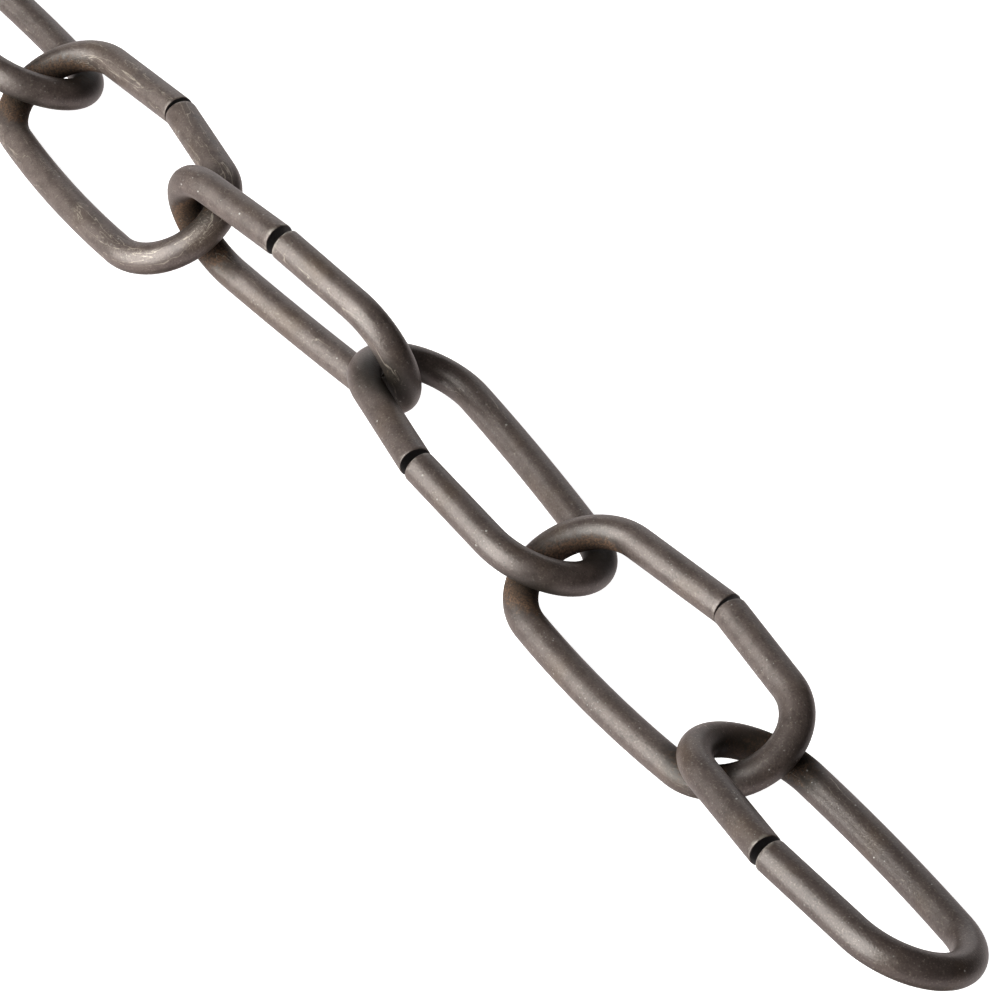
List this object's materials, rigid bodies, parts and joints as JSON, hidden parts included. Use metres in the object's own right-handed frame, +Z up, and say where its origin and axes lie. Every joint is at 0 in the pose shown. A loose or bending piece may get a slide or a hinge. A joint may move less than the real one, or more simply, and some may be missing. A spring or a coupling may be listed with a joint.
{
  "type": "length of open-link lamp chain",
  "caption": "Stretched length of dark bronze steel lamp chain: long oval loops of round wire, each with a narrow slit in one side and free to turn in the next",
  "frame": {"origin": "on the floor under the middle of the chain's bounding box", "axes": "+X along the chain from the free end that is nearest in the picture, +Z up from the floor"},
  "size_m": [0.9284, 0.0204, 0.0163],
  "materials": {
    "dark_bronze": "satin dark bronze finish on steel wire, rust-brown marks inside the crowns"
  },
  "bodies": {
    "link_01": {"link_01": "dark_bronze"},
    "link_02": {"link_02": "dark_bronze"},
    "link_03": {"link_03": "dark_bronze"},
    "link_04": {"link_04": "dark_bronze"},
    "link_05": {"link_05": "dark_bronze"},
    "link_06": {"link_06": "dark_bronze"},
    "link_07": {"link_07": "dark_bronze"},
    "link_08": {"link_08": "dark_bronze"},
    "link_09": {"link_09": "dark_bronze"},
    "link_10": {"link_10": "dark_bronze"},
    "link_11": {"link_11": "dark_bronze"},
    "link_12": {"link_12": "dark_bronze"},
    "link_13": {"link_13": "dark_bronze"},
    "link_14": {"link_14": "dark_bronze"},
    "link_15": {"link_15": "dark_bronze"},
    "link_16": {"link_16": "dark_bronze"},
    "link_17": {"link_17": "dark_bronze"},
    "link_18": {"link_18": "dark_bronze"},
    "link_19": {"link_19": "dark_bronze"},
    "link_20": {"link_20": "dark_bronze"},
    "link_21": {"link_21": "dark_bronze"},
    "link_22": {"link_22": "dark_bronze"},
    "link_23": {"link_23": "dark_bronze"},
    "link_24": {"link_24": "dark_bronze"},
    "link_25": {"link_25": "dark_bronze"},
    "link_26": {"link_26": "dark_bronze"},
    "link_27": {"link_27": "dark_bronze"},
    "link_28": {"link_28": "dark_bronze"},
    "link_29": {"link_29": "dark_bronze"},
    "link_30": {"link_30": "dark_bronze"},
    "link_31": {"link_31": "dark_bronze"}
  },
  "joints": [
    {"name": "crown_01_hinge", "type": "hinge", "parent": "link_01", "child": "link_02", "pos_m": [-0.43259, -0.00434, 0.00185], "axis": [0.8937, 0.4069, 0.1893], "range_deg": [-89, 0]},
    {"name": "crown_02_hinge", "type": "hinge", "parent": "link_02", "child": "link_03", "pos_m": [-0.40206, 0.00275, 0.00238], "axis": [0.6761, -0.6852, 0.2708], "range_deg": [-1, 90]},
    {"name": "crown_03_hinge", "type": "hinge", "parent": "link_03", "child": "link_04", "pos_m": [-0.37643, 0.00255, 0.00747], "axis": [0.9769, -0.2123, -0.0254], "range_deg": [-1, 84]},
    {"name": "crown_04_hinge", "type": "hinge", "parent": "link_04", "child": "link_05", "pos_m": [-0.34376, 0.00202, 0.00679], "axis": [-0.1068, -0.2527, -0.9616], "range_deg": [-90, 90]},
    {"name": "crown_05_hinge", "type": "hinge", "parent": "link_05", "child": "link_06", "pos_m": [-0.31524, -0.00158, 0.00565], "axis": [-0.5727, -0.7031, 0.4215], "range_deg": [-90, 7]},
    {"name": "crown_06_hinge", "type": "hinge", "parent": "link_06", "child": "link_07", "pos_m": [-0.28492, 0.00076, 0.00466], "axis": [0.3225, 0.8514, 0.4136], "range_deg": [-90, 18]},
    {"name": "crown_07_hinge", "type": "hinge", "parent": "link_07", "child": "link_08", "pos_m": [-0.25468, 0.00254, 0.00546], "axis": [-0.0016, 0.809, -0.5878], "range_deg": [-90, 90]},
    {"name": "crown_08_hinge", "type": "hinge", "parent": "link_08", "child": "link_09", "pos_m": [-0.22479, 0.00253, 0.00546], "axis": [-0.0017, -0.809, -0.5878], "range_deg": [-90, 90]},
    {"name": "crown_09_hinge", "type": "hinge", "parent": "link_09", "child": "link_10", "pos_m": [-0.1949, 0.00254, 0.00546], "axis": [0.0017, -0.809, 0.5878], "range_deg": [-90, 90]},
    {"name": "crown_10_hinge", "type": "hinge", "parent": "link_10", "child": "link_11", "pos_m": [-0.16501, 0.00253, 0.00546], "axis": [0.0017, 0.809, 0.5878], "range_deg": [-90, 90]},
    {"name": "crown_11_hinge", "type": "hinge", "parent": "link_11", "child": "link_12", "pos_m": [-0.13512, 0.00254, 0.00546], "axis": [-0.0017, 0.809, -0.5878], "range_deg": [-90, 90]},
    {"name": "crown_12_hinge", "type": "hinge", "parent": "link_12", "child": "link_13", "pos_m": [-0.10523, 0.00253, 0.00546], "axis": [-0.0016, -0.809, -0.5878], "range_deg": [-90, 90]},
    {"name": "crown_13_hinge", "type": "hinge", "parent": "link_13", "child": "link_14", "pos_m": [-0.07534, 0.00254, 0.00546], "axis": [0.0016, -0.809, 0.5878], "range_deg": [-90, 90]},
    {"name": "crown_14_hinge", "type": "hinge", "parent": "link_14", "child": "link_15", "pos_m": [-0.04545, 0.00253, 0.00546], "axis": [0.0016, 0.809, 0.5878], "range_deg": [-90, 90]},
    {"name": "crown_15_hinge", "type": "hinge", "parent": "link_15", "child": "link_16", "pos_m": [-0.01556, 0.00254, 0.00546], "axis": [-0.0016, 0.809, -0.5878], "range_deg": [-90, 90]},
    {"name": "crown_16_hinge", "type": "hinge", "parent": "link_16", "child": "link_17", "pos_m": [0.01433, 0.00253, 0.00546], "axis": [-0.0016, -0.809, -0.5878], "range_deg": [-90, 90]},
    {"name": "crown_17_hinge", "type": "hinge", "parent": "link_17", "child": "link_18", "pos_m": [0.04422, 0.00254, 0.00546], "axis": [0.0016, -0.809, 0.5878], "range_deg": [-90, 90]},
    {"name": "crown_18_hinge", "type": "hinge", "parent": "link_18", "child": "link_19", "pos_m": [0.07411, 0.00253, 0.00546], "axis": [0.0016, 0.809, 0.5878], "range_deg": [-90, 90]},
    {"name": "crown_19_hinge", "type": "hinge", "parent": "link_19", "child": "link_20", "pos_m": [0.104, 0.00254, 0.00546], "axis": [-0.0016, 0.809, -0.5878], "range_deg": [-90, 90]},
    {"name": "crown_20_hinge", "type": "hinge", "parent": "link_20", "child": "link_21", "pos_m": [0.13389, 0.00253, 0.00546], "axis": [-0.0017, -0.809, -0.5878], "range_deg": [-90, 90]},
    {"name": "crown_21_hinge", "type": "hinge", "parent": "link_21", "child": "link_22", "pos_m": [0.16378, 0.00254, 0.00546], "axis": [0.0017, -0.809, 0.5878], "range_deg": [-90, 90]},
    {"name": "crown_22_hinge", "type": "hinge", "parent": "link_22", "child": "link_23", "pos_m": [0.19367, 0.00253, 0.00546], "axis": [0.0017, 0.809, 0.5878], "range_deg": [-90, 90]},
    {"name": "crown_23_hinge", "type": "hinge", "parent": "link_23", "child": "link_24", "pos_m": [0.22356, 0.00254, 0.00546], "axis": [-0.0017, 0.809, -0.5878], "range_deg": [-90, 90]},
    {"name": "crown_24_hinge", "type": "hinge", "parent": "link_24", "child": "link_25", "pos_m": [0.25345, 0.00253, 0.00546], "axis": [-0.0016, -0.809, -0.5878], "range_deg": [-90, 90]},
    {"name": "crown_25_hinge", "type": "hinge", "parent": "link_25", "child": "link_26", "pos_m": [0.28334, 0.00254, 0.00546], "axis": [0.0016, -0.809, 0.5878], "range_deg": [-90, 90]},
    {"name": "crown_26_hinge", "type": "hinge", "parent": "link_26", "child": "link_27", "pos_m": [0.31323, 0.00253, 0.00546], "axis": [0.0016, 0.809, 0.5878], "range_deg": [-90, 90]},
    {"name": "crown_27_hinge", "type": "hinge", "parent": "link_27", "child": "link_28", "pos_m": [0.34312, 0.00254, 0.00546], "axis": [-0.0016, 0.809, -0.5878], "range_deg": [-90, 90]},
    {"name": "crown_28_hinge", "type": "hinge", "parent": "link_28", "child": "link_29", "pos_m": [0.37301, 0.00253, 0.00546], "axis": [-0.0016, -0.809, -0.5878], "range_deg": [-90, 90]},
    {"name": "crown_29_hinge", "type": "hinge", "parent": "link_29", "child": "link_30", "pos_m": [0.4029, 0.00254, 0.00546], "axis": [0.0016, -0.809, 0.5878], "range_deg": [-90, 90]},
    {"name": "crown_30_hinge", "type": "hinge", "parent": "link_30", "child": "link_31", "pos_m": [0.43279, 0.00253, 0.00546], "axis": [0.0016, 0.809, 0.5878], "range_deg": [-90, 90]}
  ]
}
